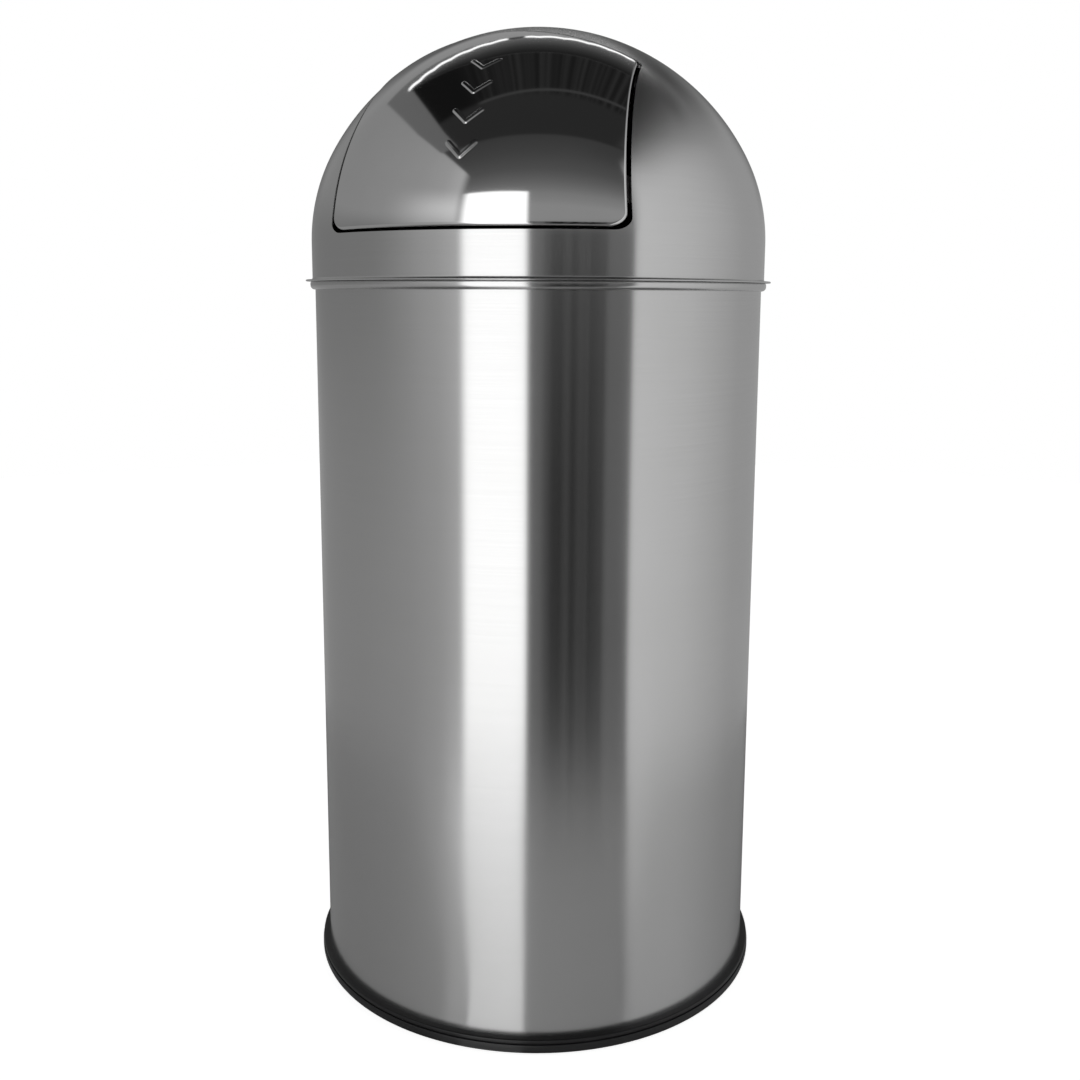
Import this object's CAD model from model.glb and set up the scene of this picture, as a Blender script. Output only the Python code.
import math

import bmesh
import bpy
import numpy as np
from mathutils import Matrix, Vector
from mathutils.geometry import delaunay_2d_cdt


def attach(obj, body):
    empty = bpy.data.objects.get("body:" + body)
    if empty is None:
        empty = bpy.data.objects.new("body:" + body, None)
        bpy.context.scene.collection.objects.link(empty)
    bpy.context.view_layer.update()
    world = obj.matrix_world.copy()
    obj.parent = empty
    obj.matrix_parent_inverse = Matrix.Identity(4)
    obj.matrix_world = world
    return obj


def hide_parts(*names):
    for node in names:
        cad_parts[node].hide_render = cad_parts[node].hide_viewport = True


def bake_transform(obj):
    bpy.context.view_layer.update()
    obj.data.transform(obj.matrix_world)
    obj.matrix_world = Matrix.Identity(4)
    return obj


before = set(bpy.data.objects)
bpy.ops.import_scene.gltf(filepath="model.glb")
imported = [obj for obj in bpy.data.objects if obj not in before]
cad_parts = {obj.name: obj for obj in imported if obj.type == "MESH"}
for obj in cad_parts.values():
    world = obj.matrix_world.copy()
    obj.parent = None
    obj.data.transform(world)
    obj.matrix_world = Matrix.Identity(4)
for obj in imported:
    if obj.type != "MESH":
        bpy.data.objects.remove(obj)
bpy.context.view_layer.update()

# Lengths are in mm here and are turned to metres when a mesh is made.
MM = 0.001

# The lid's form: straight skirt, shoulder arc and crown arc
RIM = 552.0
LID_RADIUS = 177.0
LID_SHEET = 0.9
SKIRT_TOP = RIM + 29.0
SHOULDER_RADIUS = 140.0
SHOULDER_ANGLE = math.radians(28.65)
SHOULDER_CENTRE = LID_RADIUS - SHOULDER_RADIUS
CROWN_RADIUS = SHOULDER_RADIUS + SHOULDER_CENTRE / math.cos(SHOULDER_ANGLE)
CROWN_CENTRE = SKIRT_TOP - SHOULDER_CENTRE * math.tan(SHOULDER_ANGLE)
FLANGE_RADIUS = 182.2
FLANGE_THICKNESS = 1.3
FLANGE_BEND = 1.6

# The mouth's outline, on the centre of the gap; the gap, half of it to either side; and the corners' radii
MOUTH_LOW = RIM + 33.7
MOUTH_TALL = 115.3
MOUTH_HALF_WIDTHS = (109.9, 104.3, 95.8)
MOUTH_TOP_REACH = 68.0
MOUTH_TOP_LEAN = math.radians(20.7)
SIDE_GAP = 1.6
LOW_GAP = 1.8
HIGH_GAP = 2.4
OPENING_CORNERS = (10.0, 6.5)
FLAP_CORNERS = (11.5, 6.0)

# How the outline is worked out: its sides from a first guess in rounds, their direction at a corner from a
# point some way along, and the whole laid out finely and then at an even spacing
SIDE_POINTS = 60
SIDE_GUESS = 100.0
SIDE_ROUNDS = 10
CORNER_AWAY = 6
DENSE_STEPS = 20
OPENING_SPACING = 1.6
FLAP_SPACING = 1.2

# The flap: proud of the lid, edges bent in, and four embossed chevrons down its middle
FLAP_PROUD = 0.8
FLAP_SHEET = 0.8
FLAP_BEND = 3.0
FLAP_DEPTH = 5.0
CHEVRONS = 4
CHEVRON_LOW = 51.0
CHEVRON_PITCH = 25.5
CHEVRON_WIDTH = 19.0
CHEVRON_HEIGHT = 9.5
RIDGE_HEIGHT = 0.7
RIDGE_FLAT = 0.8
RIDGE_FOOT = 2.1

# The flap's mesh: the turns of its edge's rings, and its grids' pitch on the plain face and by the chevrons
BEND_TURNS = range(10, 91, 10)
INNER_BEND_TURNS = range(90, 0, -15)
COARSE_PITCH = 2.4
COARSE_REACH = 112
COARSE_OFF_BORDER = 1.1
COARSE_OFF_RIDGE = 1.0
FINE_PITCH = 0.45
FINE_OFF_RIDGE = 0.5
NORMAL_STEP = 0.05
WELD_DISTANCE = 1e-5
INSIDE_BORDER = 1

# The lid's mesh, the block that cuts its mouth (how far past the sheet it runs, and the two tips that close
# it), and how near a point is to count as on the sheet or the flange
FORM_STEPS = 44
CUT_REACH = 12
CUT_TIP_OUT = 60
CUT_TIP_IN = 100
ON_SHEET = 0.02
ON_FLANGE = 0.01

# Body and base ring
BODY_RADIUS = 175.0
BODY_SHEET = 0.9
BODY_LOW = 4.0
CURL_TOP_CORNER = 1.4
CURL_LOW_CORNER = 3.4
CURL_REACH = 3.7
CURL_HEIGHT = 6.2
RING_RADIUS = 181.0
RING_HEIGHT = 11.3
RING_INNER = 156.0
RING_GROOVE = (7.6, 8.6)
RING_GROOVE_DEPTH = 1.2
RING_FOOT_CORNER = 3.4
RING_GROOVE_CORNERS = (0.4, 0.3)
RING_LIP_STEP = 0.5
RING_LIP_CORNER = 1.0

# Pieces turned round the axis: how many faces go round them, and the least angle of an edge that stays sharp
SEGMENTS = 288
CREASE = math.radians(32)

# Hinge and return springs: the coil, the lean of its two legs, its inboard and outboard ends, and its legs
HINGE_Y = -57.0
HINGE_Z = 689.912
SPRING_WIRE = 0.7
SPRING_COIL = 5.2
SPRING_PITCH = 2.4
SPRING_LEANS = (45.0, 21.4)
SPRING_TURN = 5 * 360.0 - sum(SPRING_LEANS)
SPRING_OUTER = 74.25
SPRING_LENGTH = SPRING_PITCH * SPRING_TURN / 360
SPRING_INNER = SPRING_OUTER - SPRING_LENGTH
SPRING_LID_LEG_GAP = 0.3
SPRING_FLAP_LEG = 16.0
SPRING_HOOK_BEND = 2.0
SPRING_HOOK = 4.0
SPRING_STEPS = 240
SPRING_SIDES = 12
SPRING_CREASE = math.radians(50)

# The photograph's camera, in metres from the bin's axis and its foot
CAMERA_AZIMUTH = math.radians(18.1)
CAMERA_DISTANCE = 0.9810
CAMERA_HEIGHT = 0.5424
CAMERA_PITCH = math.radians(9.164)
CAMERA_ROLL = 0.0048
CAMERA_LENS = 40.42
CAMERA_SHIFT = (0.0025, -0.0457)

# The floor, in metres and in degrees round from the camera. Past the table's edge, reflections look through
# it. The steel sees more light on it in two wedges (low, high, soft edge, light), which widen by WEDGE_SPREAD
# for each metre.
FLOOR_RADIUS = 3.0
FLOOR_DROP = 0.0002
FLOOR_COLOUR = (0.80, 0.80, 0.80, 1)
FLOOR_ROUGHNESS = 0.45
FLOOR_LIFT = 0.88
TABLE_RADIUS = 0.62
TABLE_EDGE = 0.1
TABLE_SHEEN = 0.5
TABLE_ROUGHNESS = 0.12
WEDGE_SPREAD = 3.0
WEDGE_IN_FRONT = (-24, 24, 3, 0.12)
WEDGE_BY_BOX = (-17.6, -3.0, 1.0, 0.36)

# The room that the steel reflects. Directions are in degrees, with the camera at azimuth 0. Places on the
# ceiling are in its own heights: flat_x to the camera's right and flat_y towards the camera. Light is 1 for
# white. The walls' goes by azimuth, the front wall's by flat_y in steps of FRONT_SCALE, and the fall's by how
# far down the cloth it is.
LEAST_RISE = 0.05
WALL_LIGHT = [(-180, 0.36), (-140, 0.31), (-100, 0.34), (-66, 0.39), (-50, 0.45), (-40, 0.56)]
WALL_LIGHT += [(48, 0.80), (80, 0.69), (120, 0.46), (160, 0.36)]
GLOW_LIGHT = 0.95
GLOW_SHARE = 0.7
FAR_LEFT_LIGHT = 0.23
LOW_BACK_LIGHT = 0.12
DARK_SIDE_LIGHT = 0.15
DARK_CLOTH_LIGHT = (0.006, 0.075)
FRONT_LIGHT = [(0.12, 0.055), (0.2, 0.075), (0.29, 0.11), (0.37, 0.17), (0.5, 0.28), (0.7, 0.36)]
FRONT_SCALE = 4.0
RIGHT_TOP_LIGHT = 0.06
MARGIN_LIGHT = 0.17
CEILING_LIGHT = (0.013, 0.032)
CEILING_LEFT_LIGHT = 0.009
CEILING_NEAR_LIGHT = 0.03
POLE_LIGHT = 0.062
FALL_LIGHT = [(0.0, 0.012), (0.35, 0.05), (0.75, 0.13), (1.0, 0.23)]
STRIP_LIGHT = 1.6
CLAMP_LIGHT = 0.07
BOX_LIGHT = 1.75

# Lines on the ceiling. The first two lie at one flat_y and, past a bend on the left, go on at a slope; the
# other two are straight: flat_y at the middle, and slope.
CLOTH_END = (-0.516, 0.28, -0.5)
STRIP_LINE = (-1.0, 0.1, 0.31)
POLE_LINE = (0.03, -0.1)
BOX_TOP_LINE = (1.97, 0.19)
LAMP_DENSITY = 30.0
LAMP_ROUND = 0.03

# Edges of the room's parts: a coordinate with where the part is gone and where it is whole, or with its low
# and high edge and how soft both are. A coordinate "past" a line is flat_y from there.
GLOW = [("azimuth", -85, -38), ("elevation", 10, 22, 6), ("azimuth", -6, -12)]
FAR_LEFT = [("elevation", -3, 9, 5), ("azimuth", -55, -90)]
LOW_BACK = [("aside", 145, 170), ("elevation", 7, 30, 3.5)]
DARK_SIDE = [("azimuth", -6, 47, 1.0)]
DARK_CLOTH = [("azimuth", 3, 33, 1.5)]
FRONT = [("azimuth", -42, -36), ("azimuth", 52, 44), ("elevation", 5, 12)]
UPPER_FRONT = [("flat_x", -0.9, -0.86), ("flat_x", 1.15, 0.75), ("flat_y", 0.4, 0.5), ("flat_y", 2.2, 1.9)]
RIGHT_TOP = [("flat_x", 1.5, 0.6), ("flat_x", 0.2, 0.6), ("flat_y", 0.9, 0.4), ("flat_y", -2.5, -1.3)]
MARGIN = [("flat_x", -0.92, -0.89), ("flat_x", 0.8, 0.6), ("flat_y", 0.52, 0.44), ("flat_y", -1.12, -1.0)]
CEILING = [("flat_x", -0.71, -0.69), ("flat_x", 0.95, 0.6), ("flat_y", 0.54, 0.5)]
CEILING += [("past_cloth", -0.01, 0.01)]
CEILING_LEFT = [("flat_x", -0.2, -0.45)]
CEILING_NEAR = [("flat_y", 0.03, 0.1)]
POLE = [("past_pole", -0.014, 0.014, 0.008), ("flat_x", -0.36, 0.6, 0.03)]
FALL = [("past_cloth", 0.01, -0.01), ("past_strip", -0.01, 0.01), ("flat_x", -0.71, 0.9, 0.02)]
STRIP = [("past_lamps", -0.035, 0.05, 0.012), ("flat_x", -0.73, -0.71), ("flat_x", 0.6, 0.4)]
CLAMP = [("flat_x", -0.135, -0.06, 0.008)]
BOX_SIDES = [("azimuth", -39.5, -34.5), ("azimuth", -4.0, -6.6)]
BOX_UPPER = [("past_box_top", -0.02, 0.03)]
BOX_LOWER = [("elevation", 12, 8)]

# Folds of cloth: the coordinate they run across, how dense and how detailed they are, and what part of them
# turns pale
DARK_FOLDS = ("azimuth", 0.32, 3.0, (0.38, 0.62))
CEILING_FOLDS = ("flat_x", 34.0, 2.0, (0.35, 0.7))


# Form of the lid


def sector(points):
    """For points on or near the lid's form: their arc's centre in the meridian plane and its radius."""
    radial = np.hypot(points[:, 0], points[:, 1])
    height = points[:, 2]
    lean = np.arctan2(height - SKIRT_TOP, radial - SHOULDER_CENTRE)
    crown = (lean > SHOULDER_ANGLE) | (radial < SHOULDER_CENTRE)
    skirt = height < SKIRT_TOP
    centre_r = np.where(crown, 0.0, SHOULDER_CENTRE)
    centre_z = np.where(crown, CROWN_CENTRE, np.where(skirt, height, SKIRT_TOP))
    radius = np.where(crown, CROWN_RADIUS, SHOULDER_RADIUS)
    return radial, height, centre_r, centre_z, radius


def lid_normal(points):
    """Outward unit normals of the lid's form at points on or near it."""
    radial, height, centre_r, centre_z, _ = sector(points)
    lean = np.arctan2(height - centre_z, radial - centre_r)
    turn = np.arctan2(points[:, 1], points[:, 0])
    return np.stack([np.cos(lean) * np.cos(turn), np.cos(lean) * np.sin(turn), np.sin(lean)], 1)


def lid_distance(points):
    """Signed distance of points from the lid's outer form."""
    radial, height, centre_r, centre_z, radius = sector(points)
    return np.hypot(radial - centre_r, height - centre_z) - radius


# The flap's chart: x across, and s along the arcs round a line that both its long edges' planes share
TOP_Y = -MOUTH_TOP_REACH
TOP_Z = CROWN_CENTRE + math.sqrt(CROWN_RADIUS**2 - MOUTH_TOP_REACH**2)
CHART_Y = TOP_Y + (TOP_Z - MOUTH_LOW) * math.tan(MOUTH_TOP_LEAN)
CHART_Z = MOUTH_LOW
CHART_RADIUS = 157.0
CHART_TOP = CHART_RADIUS * (math.pi / 2 - MOUTH_TOP_LEAN)
CHART_ROUNDS = 12
LEAST_GAIN = 0.2


def chart_point(x, s, outset=0.0):
    """Points of the form grown by outset, for chart coordinates x and s; the reach is solved in rounds."""
    x, s = np.broadcast_arrays(np.asarray(x, float), np.asarray(s, float))
    angle = s / CHART_RADIUS
    reach = np.full(x.shape, CHART_RADIUS)
    for _ in range(CHART_ROUNDS):
        points = np.stack([x, CHART_Y - reach * np.cos(angle), CHART_Z + reach * np.sin(angle)], 1)
        normal = lid_normal(points)
        gain = -normal[:, 1] * np.cos(angle) + normal[:, 2] * np.sin(angle)
        reach = reach - (lid_distance(points) - outset) / np.maximum(gain, LEAST_GAIN)
    return points


def to_chart(points):
    """Chart coordinates of points on or near the form."""
    angle = np.arctan2(points[:, 2] - CHART_Z, CHART_Y - points[:, 1])
    return np.stack([points[:, 0], angle * CHART_RADIUS], 1)


def mouth_half_width(height):
    """Half the mouth's width in front view at a height, a parabola through its three widths."""
    low, middle, high = MOUTH_HALF_WIDTHS
    share = (height - MOUTH_LOW) / MOUTH_TALL
    return low + (4 * middle - 3 * low - high) * share + 2 * (low + high - 2 * middle) * share**2


def rounded(before, corner, after, radius, steps=10):
    """Points of an arc that rounds the corner between two straight stretches."""
    before, corner, after = (np.asarray(p, float) for p in (before, corner, after))
    inward = (before - corner) / np.linalg.norm(before - corner)
    outward = (after - corner) / np.linalg.norm(after - corner)
    half = math.acos(float(np.clip(inward @ outward, -1, 1))) / 2
    middle = inward + outward
    centre = corner + middle / np.linalg.norm(middle) * radius / math.sin(half)
    first = corner + inward * radius / math.tan(half) - centre
    last = corner + outward * radius / math.tan(half) - centre
    sweep = math.pi - 2 * half
    weights = np.linspace(0, 1, steps)[:, None]
    return centre + (np.sin((1 - weights) * sweep) * first + np.sin(weights * sweep) * last) / math.sin(sweep)


def mouth_outline(inset, corners, spacing):
    """The mouth's outline in the chart, drawn in by inset (side, low, high), evenly spaced in space."""
    side_inset, low_inset, high_inset = inset
    s = np.linspace(low_inset, CHART_TOP - high_inset, SIDE_POINTS)
    x = np.full(s.shape, SIDE_GUESS)
    for _ in range(SIDE_ROUNDS):
        x = mouth_half_width(chart_point(x, s)[:, 2]) - side_inset
    side = np.stack([x, s], 1)
    low = rounded((0, s[0]), side[0], side[CORNER_AWAY], corners[0])
    high = rounded(side[-CORNER_AWAY], side[-1], (0, s[-1]), corners[1])
    between = side[(s > low[-1, 1]) & (s < high[0, 1])]
    right = np.concatenate([[(0, s[0])], low, between, high, [(0, s[-1])]])
    loop = np.concatenate([right, (right * (-1, 1))[-2:0:-1], right[:1]])
    dense = [np.linspace(a, b, DENSE_STEPS, endpoint=False) for a, b in zip(loop[:-1], loop[1:])]
    dense = np.concatenate([*dense, loop[:1]])
    steps = np.linalg.norm(np.diff(chart_point(dense[:, 0], dense[:, 1]), axis=0), axis=1)
    along = np.concatenate([[0], np.cumsum(steps)])
    count = int(along[-1] / spacing)
    even = np.linspace(0, along[-1], count, endpoint=False)
    return np.stack([np.interp(even, along, dense[:, i]) for i in range(2)], 1)


# Meshes


def unit(ways):
    """Directions, one a row, at length 1."""
    return ways / np.linalg.norm(ways, axis=1)[:, None]


def mesh_object(name, verts, faces):
    """An object in the scene from vertices in mm."""
    mesh = bpy.data.meshes.new(name)
    mesh.from_pydata([tuple(v) for v in np.asarray(verts) * MM], [], faces)
    mesh.validate()
    mesh.update()
    made = bpy.data.objects.new(name, mesh)
    bpy.context.scene.collection.objects.link(made)
    return made


def face_outward(mesh):
    """Turn the faces of a closed mesh outward."""
    work = bmesh.new()
    work.from_mesh(mesh)
    bmesh.ops.recalc_face_normals(work, faces=work.faces)
    work.to_mesh(mesh)
    work.free()


def make_piece(name, verts, faces, material, slot, body=None, normals=None):
    """A piece, from vertices in mm, that takes a CAD node's slot and place; it may ride on a body."""
    piece = mesh_object(name, verts, faces)
    piece.data.materials.append(material)
    piece.data.shade_smooth()
    if normals is not None:
        piece.data.normals_split_custom_set_from_vertices([tuple(n) for n in normals])
    if body:
        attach(piece, body)
    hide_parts(slot)
    return piece


def arc(centre, radius, start, end, steps):
    """Points (r, z) along an arc of the profile, angles in degrees."""
    angles = np.radians(np.linspace(start, end, steps))
    return [(centre[0] + radius * math.cos(a), centre[1] + radius * math.sin(a)) for a in angles]


def lathe(profile):
    """Vertices and faces of a closed profile (r, z) turned round the Z axis, its ends welded on the axis."""
    turns = np.linspace(0, 2 * math.pi, SEGMENTS, endpoint=False)
    verts, rings = [], []
    for r, z in profile:
        if r < 1e-6:
            rings.append([len(verts)] * SEGMENTS)
            verts.append((0, 0, z))
        else:
            rings.append(list(range(len(verts), len(verts) + SEGMENTS)))
            verts.extend((r * math.cos(t), r * math.sin(t), z) for t in turns)
    faces = []
    for low, high in zip(rings, rings[1:] + rings[:1]):
        for i in range(SEGMENTS):
            j = (i + 1) % SEGMENTS
            faces.append(tuple(dict.fromkeys([low[i], low[j], high[j], high[i]])))
    return verts, [f for f in faces if len(f) > 2]


def turned_piece(name, profile, material, slot):
    """A lathe-turned piece on the body whose sharp edges stay sharp."""
    piece = make_piece(name, *lathe(profile), material, slot, "body")
    face_outward(piece.data)
    piece.data.set_sharp_from_angle(angle=CREASE)
    return piece


def form_profile(outset):
    """Profile of the lid's form, grown by outset, from the top of its skirt to the crown."""
    shoulder_end = math.degrees(SHOULDER_ANGLE)
    shoulder = arc((SHOULDER_CENTRE, SKIRT_TOP), SHOULDER_RADIUS + outset, 0, shoulder_end, FORM_STEPS // 2)
    crown = arc((0, CROWN_CENTRE), CROWN_RADIUS + outset, shoulder_end, 90, FORM_STEPS)[1:-1]
    return shoulder + crown + [(0, CROWN_CENTRE + CROWN_RADIUS + outset)]


def mouth_cutter():
    """A closed block through the lid along the opening's outline."""
    loop = mouth_outline((-SIDE_GAP / 2, -LOW_GAP / 2, -HIGH_GAP / 2), OPENING_CORNERS, OPENING_SPACING)
    edge = chart_point(loop[:, 0], loop[:, 1])
    outward = CUT_REACH * lid_normal(edge)
    centre = chart_point([0.0], [CHART_TOP / 2])
    tips = [centre + CUT_TIP_OUT * lid_normal(centre), centre - CUT_TIP_IN * lid_normal(centre)]
    verts = np.concatenate([edge + outward, edge - outward, *tips])
    count = len(loop)
    tip_out, tip_in = 2 * count, 2 * count + 1
    faces = []
    for i in range(count):
        j = (i + 1) % count
        faces += [(i, j, count + j, count + i), (j, i, tip_out), (count + i, count + j, tip_in)]
    cutter = mesh_object("mouth_cutter", verts, faces)
    face_outward(cutter.data)
    return cutter


def cut_away(piece, cutter):
    """Take the cutter's shape out of a piece, and the cutter out of the scene."""
    cut = piece.modifiers.new("mouth", "BOOLEAN")
    cut.operation = "DIFFERENCE"
    cut.solver = "EXACT"
    cut.object = cutter
    bpy.context.view_layer.update()
    result = bpy.data.meshes.new_from_object(piece.evaluated_get(bpy.context.evaluated_depsgraph_get()))
    piece.modifiers.remove(cut)
    piece.data = result
    bpy.data.objects.remove(cutter)


def dome_normals(mesh, flange_top):
    """The lid's normals at its faces' corners: the form's own, but round on the flange and flat on cuts."""
    points = np.array([v.co for v in mesh.vertices]) / MM
    distance = lid_distance(points)
    normal = lid_normal(points)
    corners = []
    for face in mesh.polygons:
        indices = list(face.vertices)
        if points[indices, 2].min() > flange_top - ON_FLANGE and np.abs(distance[indices]).max() < ON_SHEET:
            corners.extend(tuple(normal[i]) for i in indices)
        elif np.abs(distance[indices] + LID_SHEET).max() < ON_SHEET:
            corners.extend(tuple(-normal[i]) for i in indices)
        elif points[indices, 2].max() < flange_top + ON_FLANGE:
            middle = points[indices].mean(0)
            turn = math.atan2(middle[1], middle[0])
            outward = face.normal.x * math.cos(turn) + face.normal.y * math.sin(turn)
            for i in indices:
                at = math.atan2(points[i, 1], points[i, 0])
                corners.append((outward * math.cos(at), outward * math.sin(at), face.normal.z))
        else:
            corners.extend([tuple(face.normal)] * len(indices))
    return corners


def lid_dome(material):
    """The lid's sheet with its flange, cut for the mouth, with exact normals on both its sides."""
    bend = FLANGE_THICKNESS + FLANGE_BEND
    half = FLANGE_THICKNESS / 2
    skirt = [(LID_RADIUS, RIM + z) for z in np.linspace(bend, SKIRT_TOP - RIM, 6)[1:-1]]
    edge = arc((FLANGE_RADIUS - half, RIM + half), half, -90, 90, 7)
    root = arc((LID_RADIUS + FLANGE_BEND, RIM + bend), FLANGE_BEND, 270, 180, 8)
    outside = [(LID_RADIUS - LID_SHEET, RIM)] + edge + root + skirt + form_profile(0)
    inside = form_profile(-LID_SHEET)[::-1]
    dome = make_piece("lid_dome_sheet", *lathe(outside + inside), material, "lid_dome", "lid")
    face_outward(dome.data)
    cut_away(dome, mouth_cutter())
    normals = dome_normals(dome.data, RIM + bend)
    dome.data.shade_smooth()
    dome.data.normals_split_custom_set(normals)
    return dome


def ridge_distance(x, s):
    """Distance of chart points from the nearest chevron's centre line."""
    nearest = np.full(np.shape(x), 1e9)
    arm = np.array([CHEVRON_WIDTH / 2, CHEVRON_HEIGHT])
    for i in range(CHEVRONS):
        tip = CHEVRON_LOW + i * CHEVRON_PITCH - CHEVRON_HEIGHT / 2
        share = np.clip((np.abs(x) * arm[0] + (s - tip) * arm[1]) / (arm @ arm), 0, 1)
        nearest = np.minimum(nearest, np.hypot(np.abs(x) - share * arm[0], s - tip - share * arm[1]))
    return nearest


def ridge(x, s):
    """Height of the embossed chevrons at chart coordinates."""
    fall = np.clip((ridge_distance(x, s) - RIDGE_FLAT) / (RIDGE_FOOT - RIDGE_FLAT), 0, 1)
    return RIDGE_HEIGHT * (1 - fall * fall * (3 - 2 * fall))


def flap_surface(x, s, sink=0.0):
    """Points of the flap's face, its chevrons raised, sunk along the normal by sink."""
    points = chart_point(x, s, FLAP_PROUD)
    return points + lid_normal(points) * (ridge(x, s) - sink)[:, None]


def flap_edge(loop):
    """The face's border, where the bend starts, and rings of points and normals from there to its back."""
    border = chart_point(loop[:, 0], loop[:, 1], FLAP_PROUD)
    along = np.roll(border, -1, axis=0) - np.roll(border, 1, axis=0)
    inward = unit(np.cross(lid_normal(border), along))
    start = border + FLAP_BEND * inward
    start -= lid_normal(start) * (lid_distance(start) - FLAP_PROUD)[:, None]
    up = lid_normal(start)
    inward = unit(inward - up * (inward * up).sum(1)[:, None])

    def ring(radius, angle, drop=0.0):
        turn = math.radians(angle)
        lean = up * math.cos(turn) - inward * math.sin(turn)
        return start - FLAP_BEND * up + radius * lean - drop * up, lean

    drop = FLAP_DEPTH - FLAP_BEND
    inner_bend = FLAP_BEND - FLAP_SHEET
    rings = [ring(FLAP_BEND, angle) for angle in BEND_TURNS] + [ring(FLAP_BEND, 90, drop)]
    inner = [ring(inner_bend, 90, drop)] + [ring(inner_bend, angle) for angle in INNER_BEND_TURNS]
    return start, rings + [(points, -lean) for points, lean in inner]


def inside_polygon(points, polygon, margin):
    """Which points lie inside a polygon and at least margin from its corners."""
    inside = np.zeros(len(points), bool)
    for a, b in zip(polygon, np.roll(polygon, -1, axis=0)):
        crosses = (a[1] > points[:, 1]) != (b[1] > points[:, 1])
        with np.errstate(divide="ignore", invalid="ignore"):
            at = a[0] + (points[:, 1] - a[1]) * (b[0] - a[0]) / (b[1] - a[1])
        inside ^= crosses & (points[:, 0] < at)
    gap = np.min(np.linalg.norm(points[:, None, :] - polygon[None, :, :], axis=2), axis=1)
    return inside & (gap > margin)


def flap_triangles(border):
    """The face in the chart: its points, its triangles, fine by the chevrons, and its border's points."""
    spread = np.arange(-COARSE_REACH, COARSE_REACH, COARSE_PITCH)
    coarse = np.stack(np.meshgrid(spread, np.arange(0, CHART_TOP, COARSE_PITCH)), -1).reshape(-1, 2)
    coarse = coarse[ridge_distance(*coarse.T) > RIDGE_FOOT + COARSE_OFF_RIDGE]
    coarse = coarse[inside_polygon(coarse, border, COARSE_OFF_BORDER)]
    near = np.arange(-CHEVRON_WIDTH, CHEVRON_WIDTH, FINE_PITCH)
    tall = np.arange(CHEVRON_LOW - CHEVRON_PITCH, CHEVRON_LOW + CHEVRONS * CHEVRON_PITCH, FINE_PITCH)
    fine = np.stack(np.meshgrid(near, tall), -1).reshape(-1, 2)
    fine = fine[ridge_distance(*fine.T) < RIDGE_FOOT + FINE_OFF_RIDGE]
    points = [Vector(point) for point in np.concatenate([border, coarse, fine])]
    count = len(border)
    borders = [(i, (i + 1) % count) for i in range(count)]
    coords, _, triangles, origins, _, _ = delaunay_2d_cdt(points, borders, [], INSIDE_BORDER, WELD_DISTANCE)
    order = {}
    for index, sources in enumerate(origins):
        for source in sources:
            order[source] = index
    return np.array([tuple(c) for c in coords]), triangles, [order[i] for i in range(count)]


def flap_normals(x, s):
    """Normals of the flap's face with its chevrons, from small steps across and up it."""
    step = NORMAL_STEP
    across = flap_surface(x + step, s) - flap_surface(x - step, s)
    upward = flap_surface(x, s + step) - flap_surface(x, s - step)
    return unit(np.cross(across, upward))


def flap_panel(material):
    """The flap's sheet: crowned face with embossed chevrons and an edge bent in all round."""
    loop = mouth_outline((SIDE_GAP / 2, LOW_GAP / 2, HIGH_GAP / 2), FLAP_CORNERS, FLAP_SPACING)
    start, rings = flap_edge(loop)
    chart, triangles, first = flap_triangles(to_chart(start))
    x, s = chart.T
    normal = flap_normals(x, s)
    verts = [flap_surface(x, s)] + [points for points, _ in rings] + [flap_surface(x, s, FLAP_SHEET)]
    normals = [normal] + [lean for _, lean in rings] + [-normal]

    count = len(first)
    back = len(chart) + count * len(rings)
    loops = [first]
    loops += [list(range(at, at + count)) for at in range(len(chart), back, count)]
    loops.append([back + i for i in first])
    faces = [tuple(t) for t in triangles]
    faces += [tuple(back + i for i in reversed(t)) for t in triangles]
    for a, b in zip(loops[:-1], loops[1:]):
        for i in range(count):
            j = (i + 1) % count
            faces.append((a[j], a[i], b[i], b[j]))
    verts, normals = np.concatenate(verts), np.concatenate(normals)
    return make_piece("flap_face", verts, faces, material, "flap_panel", "flap", normals)


def spring_course():
    """Centre line of the right return spring, from its leg on the lid to its hook through the lug."""
    turn = np.radians(90 + SPRING_LEANS[0] + np.linspace(0, SPRING_TURN, SPRING_STEPS))
    along = SPRING_INNER + np.linspace(0, SPRING_LENGTH, SPRING_STEPS)
    y = HINGE_Y + SPRING_COIL * np.cos(turn)
    coil = np.stack([along, y, HINGE_Z + SPRING_COIL * np.sin(turn)], 1)
    rise = SPRING_PITCH / (2 * math.pi * SPRING_COIL)

    def tangent(angle):
        way = np.array([rise, -math.sin(angle), math.cos(angle)])
        return way / np.linalg.norm(way)

    back = -tangent(turn[0])
    reach = CROWN_RADIUS - LID_SHEET - SPRING_WIRE - SPRING_LID_LEG_GAP
    from_middle = coil[0] - (0, 0, CROWN_CENTRE)
    dot = from_middle @ back
    leg = math.sqrt(dot**2 - from_middle @ from_middle + reach**2) - dot
    ahead = tangent(turn[-1])
    bend_start = coil[-1] + ahead * SPRING_FLAP_LEG
    outboard = np.array([1.0, 0, 0])
    side = outboard - ahead * (outboard @ ahead)
    side /= np.linalg.norm(side)
    sweep = np.linspace(0, math.acos(outboard @ ahead), 9)[1:, None]
    bend = bend_start + SPRING_HOOK_BEND * (np.sin(sweep) * ahead + (1 - np.cos(sweep)) * side)
    tip = bend[-1] + outboard * SPRING_HOOK
    return np.concatenate([[coil[0] + back * leg], coil, [bend_start], bend, [tip]])


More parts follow.
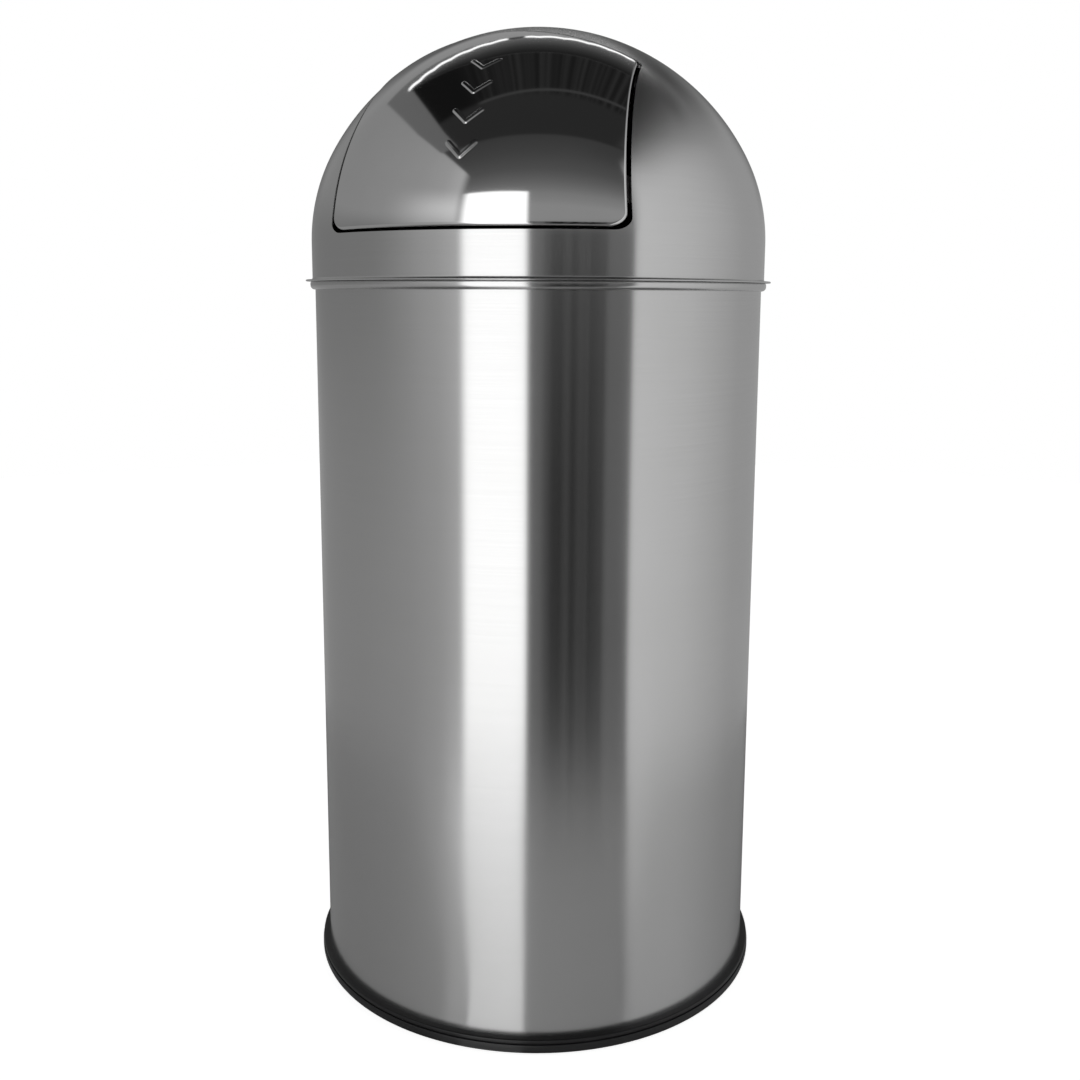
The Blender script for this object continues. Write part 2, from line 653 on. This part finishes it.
def wire(course, radius, sides):
    """Vertices and faces of a round wire along a course."""
    ways = unit(np.gradient(course, axis=0))
    across = np.cross(ways[0], (1, 0, 0))
    verts = []
    for point, way in zip(course, ways):
        across = across - way * (across @ way)
        across /= np.linalg.norm(across)
        other = np.cross(way, across)
        for angle in np.linspace(0, 2 * math.pi, sides, endpoint=False):
            verts.append(point + radius * (math.cos(angle) * across + math.sin(angle) * other))
    faces = []
    for low in range(0, len(verts) - sides, sides):
        high = low + sides
        for j in range(sides):
            k = (j + 1) % sides
            faces.append((low + j, low + k, high + k, high + j))
    faces.append(tuple(range(sides))[::-1])
    faces.append(tuple(range(len(verts) - sides, len(verts))))
    return verts, faces


def return_spring(slot, side, material):
    """A wound spring that twists between the lid and the flap; side is 1 on the right, -1 on the left."""
    verts, faces = wire(spring_course() * (side, 1, 1), SPRING_WIRE, SPRING_SIDES)
    piece = make_piece(slot + "_wire", verts, faces, material, slot)
    piece.data.set_sharp_from_angle(angle=SPRING_CREASE)
    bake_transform(piece)
    return piece


# Materials


class Graph:
    """Short forms for making and wiring shader nodes."""

    def __init__(self, owner):
        owner.use_nodes = True
        self.owner = owner
        self.nodes = owner.node_tree.nodes
        self.links = owner.node_tree.links
        self.nodes.clear()

    def node(self, kind, inputs=None, **settings):
        made = self.nodes.new(kind)
        for key, value in settings.items():
            setattr(made, key, value)
        for key, value in (inputs or {}).items():
            self.feed(made.inputs[key], value)
        return made

    def feed(self, socket, value):
        if isinstance(value, bpy.types.NodeSocket):
            self.links.new(value, socket)
        else:
            socket.default_value = value

    def math(self, operation, *values):
        return self.node("ShaderNodeMath", dict(enumerate(values)), operation=operation).outputs[0]

    def times(self, *values):
        """The product of values, such as masks that all must hold."""
        product = values[0]
        for value in values[1:]:
            product = self.math("MULTIPLY", product, value)
        return product

    def line(self, value, at_zero, slope):
        """A straight line's height at a value."""
        return self.math("ADD", self.times(value, slope), at_zero)

    def mix(self, share, low, high):
        made = self.node("ShaderNodeMix", {0: share, 2: low, 3: high}, data_type="FLOAT")
        return made.outputs[0]

    def step(self, value, low, high):
        """0 below low, 1 above high, smooth between; falls instead if low is above high."""
        made = self.node("ShaderNodeMapRange", {"Value": value}, interpolation_type="SMOOTHSTEP")
        rising = low < high
        self.feed(made.inputs["From Min"], min(low, high))
        self.feed(made.inputs["From Max"], max(low, high))
        self.feed(made.inputs["To Min"], 0.0 if rising else 1.0)
        self.feed(made.inputs["To Max"], 1.0 if rising else 0.0)
        return made.outputs["Result"]

    def window(self, value, low, high, soft):
        """1 between low and high, 0 outside them, with edges soft to either side."""
        risen = self.step(value, low - soft, low + soft)
        return self.times(risen, self.step(value, high + soft, high - soft))

    def ramp(self, value, stops):
        made = self.node("ShaderNodeValToRGB", {"Fac": value})
        elements = made.color_ramp.elements
        while len(elements) < len(stops):
            elements.new(0.5)
        for element, (place, shade) in zip(elements, stops):
            element.position = place
            colour = shade if isinstance(shade, tuple) else (shade, shade, shade)
            element.color = (*colour, 1)
        return made.outputs["Color"]

    def place(self):
        return self.node("ShaderNodeTexCoord").outputs["Object"]

    def split(self, vector):
        return self.node("ShaderNodeSeparateXYZ", {0: vector}).outputs

    def noise(self, place, scale, detail):
        return self.node("ShaderNodeTexNoise", {"Vector": place, "Scale": scale, "Detail": detail}).outputs

    def turned(self, vector):
        """x, y and z of a vector turned round Z so that the camera lies at azimuth 0."""
        made = self.node("ShaderNodeVectorRotate", {"Vector": vector}, rotation_type="Z_AXIS")
        self.feed(made.inputs["Angle"], -CAMERA_AZIMUTH)
        return self.split(made.outputs[0])

    def finish(self, colour, roughness, height, strength, distance, **more):
        """The principled shader on a material, with a bump, and any more inputs by name."""
        bump = self.node("ShaderNodeBump", {"Strength": strength, "Distance": distance, "Height": height})
        inputs = {"Base Color": colour, "Roughness": roughness, "Normal": bump.outputs[0]}
        inputs.update((name.replace("_", " "), value) for name, value in more.items())
        made = self.node("ShaderNodeBsdfPrincipled", inputs)
        self.node("ShaderNodeOutputMaterial", {"Surface": made.outputs[0]})
        return self.owner


def material_graph(name):
    """The graph of a new material."""
    return Graph(bpy.data.materials.new(name))


def ring_grain(graph, place, along, across):
    """Noise stretched round the axis, as grinding round a turned or rolled sheet leaves it."""
    x, y, z = graph.split(place)
    radial = graph.math("SQRT", graph.math("ADD", graph.times(x, x), graph.times(y, y)))
    turn = graph.math("ARCTAN2", y, x)
    spot = graph.node("ShaderNodeCombineXYZ")
    graph.feed(spot.inputs[0], graph.times(graph.math("SINE", turn), along))
    graph.feed(spot.inputs[1], graph.times(graph.math("COSINE", turn), along))
    graph.feed(spot.inputs[2], graph.times(graph.math("SUBTRACT", z, radial), across))
    return graph.noise(spot.outputs[0], scale=1.0, detail=3.0)["Fac"]


def satin_steel(name, roughness=0.19, shade=0.60, seam=0.0):
    """Stainless sheet ground round the axis: sharp sideways, blurred up and down, lightly handled.
    A seam is the ground-flush weld down the back, that many mm wide."""
    graph = material_graph(name)
    place = graph.place()
    grain = ring_grain(graph, place, along=1.6, across=2600.0)
    smear = graph.noise(place, scale=9.0, detail=4.0)["Fac"]
    worn = graph.node("ShaderNodeMix", {0: 1.0}, data_type="RGBA", blend_type="MULTIPLY")
    graph.feed(worn.inputs[6], graph.ramp(grain, [(0.3, shade * 0.98), (0.7, shade * 1.02)]))
    graph.feed(worn.inputs[7], graph.ramp(smear, [(0.35, (0.97, 0.97, 0.965)), (0.65, (1, 1, 1))]))
    polish = graph.line(smear, at_zero=roughness - 0.015, slope=0.03)
    if seam:
        x, y, _ = graph.split(place)
        half = seam / 2 * MM
        weld = graph.times(graph.window(x, -half, half, 0.4 * half), graph.step(y, 0.0, 0.01))
        polish = graph.math("ADD", polish, graph.times(weld, 0.14))
    tangent = graph.node("ShaderNodeTangent", direction_type="RADIAL", axis="Z").outputs[0]
    ground = {"Metallic": 1.0, "Anisotropic": 0.95, "Anisotropic_Rotation": 0.25, "Tangent": tangent}
    return graph.finish(worn.outputs[2], polish, grain, strength=0.009, distance=0.0001, **ground)


def mirror_steel(name):
    """Polished stainless sheet: near-mirror, with faint polishing haze and slight pressing waves."""
    graph = material_graph(name)
    place = graph.place()
    haze = graph.noise(place, scale=14.0, detail=5.0)["Fac"]
    waves = graph.noise(place, scale=11.0, detail=1.0)["Fac"]
    tone = graph.ramp(haze, [(0.3, 0.61), (0.7, 0.65)])
    polish = graph.line(haze, at_zero=0.05, slope=0.03)
    return graph.finish(tone, polish, waves, strength=0.10, distance=0.002, Metallic=1.0)


def plain_steel(name, shade=0.55, roughness=0.32):
    """Rolled sheet and drawn bar inside the lid: soft streaks and a few dull patches."""
    graph = material_graph(name)
    place = graph.place()
    patch = graph.noise(place, scale=60.0, detail=6.0)["Fac"]
    scratch = graph.noise(place, scale=900.0, detail=2.0)["Fac"]
    tone = graph.ramp(patch, [(0.3, shade * 0.85), (0.7, shade * 1.08)])
    polish = graph.line(patch, at_zero=roughness - 0.07, slope=0.14)
    return graph.finish(tone, polish, scratch, strength=0.12, distance=0.0001, Metallic=1.0)


def galvanised(name):
    """Zinc-coated sheet: flat spangles of differing grey over a dull, slightly mottled coat."""
    graph = material_graph(name)
    place = graph.place()
    bend = graph.noise(place, scale=90.0, detail=2.0)
    spot = graph.node("ShaderNodeMix", {0: 0.006}, data_type="VECTOR")
    graph.feed(spot.inputs[4], place)
    graph.feed(spot.inputs[5], bend["Color"])
    cells = graph.node("ShaderNodeTexVoronoi", {"Vector": spot.outputs[1], "Scale": 85.0})
    grey = graph.node("ShaderNodeSeparateColor", {0: cells.outputs["Color"]})
    tone = graph.ramp(grey.outputs[0], [(0.0, (0.40, 0.42, 0.43)), (1.0, (0.58, 0.60, 0.62))])
    polish = graph.line(grey.outputs[1], at_zero=0.34, slope=0.16)
    return graph.finish(tone, polish, bend["Fac"], strength=0.15, distance=0.0002, Metallic=0.9)


def moulded(name, colour, roughness, grain_scale=1500.0, grain=0.15):
    """Moulded plastic or rubber with a fine spark-eroded skin and slightly rubbed high spots."""
    graph = material_graph(name)
    place = graph.place()
    skin = graph.noise(place, scale=grain_scale, detail=2.0)["Fac"]
    rub = graph.noise(place, scale=25.0, detail=5.0)["Fac"]
    low = tuple(c * 0.85 for c in colour)
    high = tuple(min(1.0, c * 1.25) for c in colour)
    tone = graph.ramp(rub, [(0.35, low), (0.7, high)])
    polish = graph.line(rub, at_zero=roughness - 0.06, slope=0.12)
    return graph.finish(tone, polish, skin, strength=grain, distance=0.0001)


satin = satin_steel("satin_stainless")
welded_satin = satin_steel("welded_satin_stainless", seam=2.2)
mirror = mirror_steel("polished_stainless")
inner_steel = plain_steel("plain_stainless")
spring_steel = plain_steel("spring_wire_steel", shade=0.42, roughness=0.30)
zinc = galvanised("galvanised_sheet")
ring_plastic = moulded("black_plastic", (0.013, 0.013, 0.014), 0.36)
cap_plastic = moulded("black_caps", (0.02, 0.02, 0.02), 0.45)
rubber = moulded("buffer_rubber", (0.018, 0.018, 0.018), 0.7, grain_scale=700.0, grain=0.3)
acetal = moulded("bush_acetal", (0.72, 0.71, 0.67), 0.4)

# Pieces that take the place of CAD nodes
lid_dome(satin)
flap_panel(mirror)

curl_edge = BODY_RADIUS + CURL_REACH
curl_foot = RIM - CURL_HEIGHT
curl_inner = BODY_RADIUS - BODY_SHEET
curl_top = RIM - CURL_TOP_CORNER
wall_heights = np.linspace(BODY_LOW, curl_foot, 24)
body_profile = (
    [(BODY_RADIUS, z) for z in wall_heights]
    + arc((curl_edge - CURL_LOW_CORNER, curl_foot + CURL_LOW_CORNER), CURL_LOW_CORNER, -90, 0, 10)
    + arc((curl_edge - CURL_TOP_CORNER, curl_top), CURL_TOP_CORNER, 0, 90, 7)
    + arc((curl_inner + CURL_TOP_CORNER, curl_top), CURL_TOP_CORNER, 90, 180, 7)
    + [(curl_inner, z) for z in wall_heights[::-1]]
)
turned_piece("body_wall", body_profile, welded_satin, "body_shell")

groove_low, groove_high = RING_GROOVE
groove_radius = RING_RADIUS - RING_GROOVE_DEPTH
low_corner, high_corner = RING_GROOVE_CORNERS
lip = RING_RADIUS - RING_LIP_STEP
ring_profile = (
    [(RING_INNER, 0.0)]
    + arc((RING_RADIUS - RING_FOOT_CORNER, RING_FOOT_CORNER), RING_FOOT_CORNER, -90, 0, 10)
    + arc((RING_RADIUS - low_corner, groove_low - low_corner), low_corner, 0, 90, 4)
    + [(groove_radius, groove_low), (groove_radius, groove_high)]
    + arc((lip - high_corner, groove_high + high_corner), high_corner, -90, 0, 4)
    + arc((lip - RING_LIP_CORNER, RING_HEIGHT - RING_LIP_CORNER), RING_LIP_CORNER, 0, 90, 8)
    + [(BODY_RADIUS, RING_HEIGHT), (BODY_RADIUS, BODY_LOW), (RING_INNER, BODY_LOW)]
)
turned_piece("base_ring_moulding", ring_profile, ring_plastic, "base_ring")

return_spring("return_spring_right", 1, spring_steel)
return_spring("return_spring_left", -1, spring_steel)

# CAD nodes that show as they are
brackets = ["hinge_bracket_left", "hinge_bracket_right", "stop_tab_left", "stop_tab_right"]
inner_pieces = ["floor_pan", "lid_collar", "hinge_rod", "lug_left", "lug_right", "ear_rivets"]
finishes = {
    inner_steel: brackets + inner_pieces,
    zinc: ["liner_shell", "liner_floor", "liner_ear_left", "liner_ear_right", "bail_wire"],
    acetal: ["lug_bush_left", "lug_bush_right"],
    rubber: ["stop_buffer_left", "stop_buffer_right"],
    cap_plastic: ["rod_caps"],
}
for material, names in finishes.items():
    for name in names:
        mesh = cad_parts[name].data
        mesh.materials.clear()
        mesh.materials.append(material)


# Floor, studio and camera


def floor_material():
    """Pale and softly glossy; reflections see the light wedges, and look through it past the table's edge."""
    graph = material_graph("pale_floor")
    path = graph.node("ShaderNodeLightPath").outputs
    place = graph.place()
    away = graph.node("ShaderNodeVectorMath", {0: place}, operation="LENGTH").outputs["Value"]
    x, y, _ = graph.turned(place)
    azimuth = graph.math("DEGREES", graph.math("ARCTAN2", x, graph.times(y, -1.0)))
    spread = graph.line(graph.math("SUBTRACT", away, BODY_RADIUS * MM), 1.0, WEDGE_SPREAD)
    facing = graph.math("DIVIDE", azimuth, spread)
    wedges = []
    for *edges, light in (WEDGE_IN_FRONT, WEDGE_BY_BOX):
        wedges.append(graph.times(graph.window(facing, *edges), light))
    lift = graph.times(graph.math("ADD", *wedges), path["Is Glossy Ray"])
    lift = graph.math("ADD", lift, graph.times(path["Is Camera Ray"], FLOOR_LIFT))
    matt = graph.node("ShaderNodeBsdfPrincipled", {"Base Color": FLOOR_COLOUR, "Roughness": FLOOR_ROUGHNESS})
    sheen = graph.node("ShaderNodeBsdfGlossy", {"Color": (1, 1, 1, 1), "Roughness": TABLE_ROUGHNESS})
    share = graph.times(path["Is Glossy Ray"], TABLE_SHEEN)
    coat = graph.node("ShaderNodeMixShader", {0: share, 1: matt.outputs[0], 2: sheen.outputs[0]})
    glow = graph.node("ShaderNodeEmission", {"Strength": lift})
    lit = graph.node("ShaderNodeAddShader", {0: coat.outputs[0], 1: glow.outputs[0]})
    through = graph.times(path["Is Glossy Ray"], graph.step(away, TABLE_RADIUS, TABLE_RADIUS + TABLE_EDGE))
    clear = graph.node("ShaderNodeBsdfTransparent")
    surface = graph.node("ShaderNodeMixShader", {0: through, 1: lit.outputs[0], 2: clear.outputs[0]})
    graph.node("ShaderNodeOutputMaterial", {"Surface": surface.outputs[0]})
    return graph.owner


def floor():
    """Pale disc that keeps the shadow."""
    mesh = bpy.data.meshes.new("floor")
    work = bmesh.new()
    bmesh.ops.create_circle(work, cap_ends=True, segments=96, radius=FLOOR_RADIUS)
    work.to_mesh(mesh)
    work.free()
    disc = bpy.data.objects.new("floor", mesh)
    bpy.context.scene.collection.objects.link(disc)
    disc.location.z = -FLOOR_DROP
    mesh.materials.append(floor_material())
    return disc


class Room:
    """Coordinates of the room that the steel reflects, and its light so far."""

    def __init__(self, graph):
        self.graph = graph
        x, y, z = graph.turned(graph.node("ShaderNodeTexCoord").outputs["Generated"])
        front = graph.times(y, -1.0)
        azimuth = graph.math("DEGREES", graph.math("ARCTAN2", x, front))
        self.at = {"azimuth": azimuth, "aside": graph.math("ABSOLUTE", azimuth)}
        self.at["elevation"] = graph.math("DEGREES", graph.math("ARCSINE", z))
        rise = graph.math("MAXIMUM", z, LEAST_RISE)
        self.flat_x = self.at["flat_x"] = graph.math("DIVIDE", x, rise)
        self.flat_y = self.at["flat_y"] = graph.math("DIVIDE", front, rise)
        turn = graph.math("DIVIDE", graph.math("ADD", azimuth, 180.0), 360.0)
        self.light = graph.ramp(turn, [((place + 180) / 360, level) for place, level in WALL_LIGHT])

    def bent_line(self, at, bend, slope):
        """A line on the ceiling at one flat_y that goes on at a slope past a bend on the left."""
        left = self.graph.math("ADD", self.graph.times(self.flat_x, -1.0), -bend)
        return self.graph.line(self.graph.math("MAXIMUM", left, 0.0), at, slope)

    def past(self, line):
        """How far towards the camera of a line on the ceiling."""
        return self.graph.math("SUBTRACT", self.flat_y, line)

    def mask(self, edges):
        """1 where a part of the room is, 0 outside its edges."""
        masks = []
        for name, *edge in edges:
            form = self.graph.step if len(edge) == 2 else self.graph.window
            masks.append(form(self.at[name], *edge))
        return self.graph.times(*masks)

    def paint(self, level, edges, *shares):
        """Lay a level of light over what is there, within a part's edges and at the product of any shares."""
        self.light = self.graph.mix(self.graph.times(self.mask(edges), *shares), self.light, level)

    def cloth(self, folds, dark, pale):
        """Light of a cloth with folds."""
        name, density, detail, turns_pale = folds
        noise = self.graph.node("ShaderNodeTexNoise", {"Scale": 1.0, "Detail": detail}, noise_dimensions="1D")
        self.graph.feed(noise.inputs["W"], self.graph.times(self.at[name], density))
        return self.graph.mix(self.graph.step(noise.outputs["Fac"], *turns_pale), dark, pale)


def paint_walls(room):
    """Walls brighter towards the soft box, a dark cloth, and the upper parts of the front and the right."""
    graph = room.graph
    room.paint(GLOW_LIGHT, GLOW, GLOW_SHARE)
    room.paint(FAR_LEFT_LIGHT, FAR_LEFT)
    room.paint(LOW_BACK_LIGHT, LOW_BACK)
    room.paint(DARK_SIDE_LIGHT, DARK_SIDE)
    room.paint(room.cloth(DARK_FOLDS, *DARK_CLOTH_LIGHT), DARK_CLOTH)
    front_light = graph.ramp(graph.math("DIVIDE", room.flat_y, FRONT_SCALE), FRONT_LIGHT)
    room.paint(front_light, FRONT)
    room.paint(front_light, UPPER_FRONT)
    room.paint(RIGHT_TOP_LIGHT, RIGHT_TOP)


def paint_ceiling(room):
    """Black cloth with folds, its grey margin, a thin pole across it, and its fall to the strip lights."""
    graph = room.graph
    cloth_end = room.bent_line(*CLOTH_END)
    strip_line = room.bent_line(*STRIP_LINE)
    room.at["past_cloth"] = room.past(cloth_end)
    room.at["past_strip"] = room.past(strip_line)
    room.at["past_pole"] = room.past(graph.line(room.flat_x, *POLE_LINE))

    room.paint(MARGIN_LIGHT, MARGIN)
    cloth = room.cloth(CEILING_FOLDS, *CEILING_LIGHT)
    cloth = graph.mix(room.mask(CEILING_LEFT), cloth, CEILING_LEFT_LIGHT)
    cloth = graph.mix(room.mask(CEILING_NEAR), cloth, CEILING_NEAR_LIGHT)
    room.paint(cloth, CEILING)
    room.paint(POLE_LIGHT, POLE)
    depth = graph.math("DIVIDE", room.at["past_cloth"], graph.math("SUBTRACT", strip_line, cloth_end))
    room.paint(graph.ramp(depth, FALL_LIGHT), FALL)

    # Round lights side by side, with a dark clamp on them
    lamps = graph.math("ABSOLUTE", graph.math("SINE", graph.times(room.flat_x, LAMP_DENSITY)))
    room.at["past_lamps"] = graph.math("ADD", room.at["past_strip"], graph.times(lamps, LAMP_ROUND))
    room.paint(graph.mix(room.mask(CLAMP), STRIP_LIGHT, CLAMP_LIGHT), STRIP)


def paint_soft_box(room):
    """Tall soft box to the left of the camera, with a straight top."""
    room.at["past_box_top"] = room.past(room.graph.line(room.flat_x, *BOX_TOP_LINE))
    tall = room.graph.math("MAXIMUM", room.mask(BOX_UPPER), room.mask(BOX_LOWER))
    room.paint(BOX_LIGHT, BOX_SIDES, tall)


def studio():
    """The world: the room for light and reflections, and plain white for the camera."""
    world = bpy.data.worlds.new("studio")
    bpy.context.scene.world = world
    graph = Graph(world)
    room = Room(graph)
    paint_walls(room)
    paint_ceiling(room)
    paint_soft_box(room)
    seen = graph.node("ShaderNodeLightPath").outputs["Is Camera Ray"]
    light = graph.node("ShaderNodeBackground", {"Color": (1, 1, 1, 1), "Strength": room.light})
    white = graph.node("ShaderNodeBackground", {"Color": (1, 1, 1, 1), "Strength": 1.0})
    shown = graph.node("ShaderNodeMixShader", {0: seen, 1: light.outputs[0], 2: white.outputs[0]})
    graph.node("ShaderNodeOutputWorld", {"Surface": shown.outputs[0]})


def camera():
    """The photograph's camera."""
    data = bpy.data.cameras.new("camera")
    data.lens = CAMERA_LENS
    data.sensor_width = 36
    data.shift_x, data.shift_y = CAMERA_SHIFT
    made = bpy.data.objects.new("camera", data)
    bpy.context.scene.collection.objects.link(made)
    turn = Matrix.Rotation(CAMERA_AZIMUTH, 4, "Z")
    tilt = Matrix.Rotation(math.pi / 2 - CAMERA_PITCH, 4, "X")
    roll = Matrix.Rotation(CAMERA_ROLL, 4, "Z")
    place = turn @ Vector((0, -CAMERA_DISTANCE, CAMERA_HEIGHT))
    made.matrix_world = Matrix.Translation(place) @ turn @ tilt @ roll
    bpy.context.scene.camera = made


floor()
studio()
camera()
bpy.context.scene.view_settings.view_transform = "Standard"
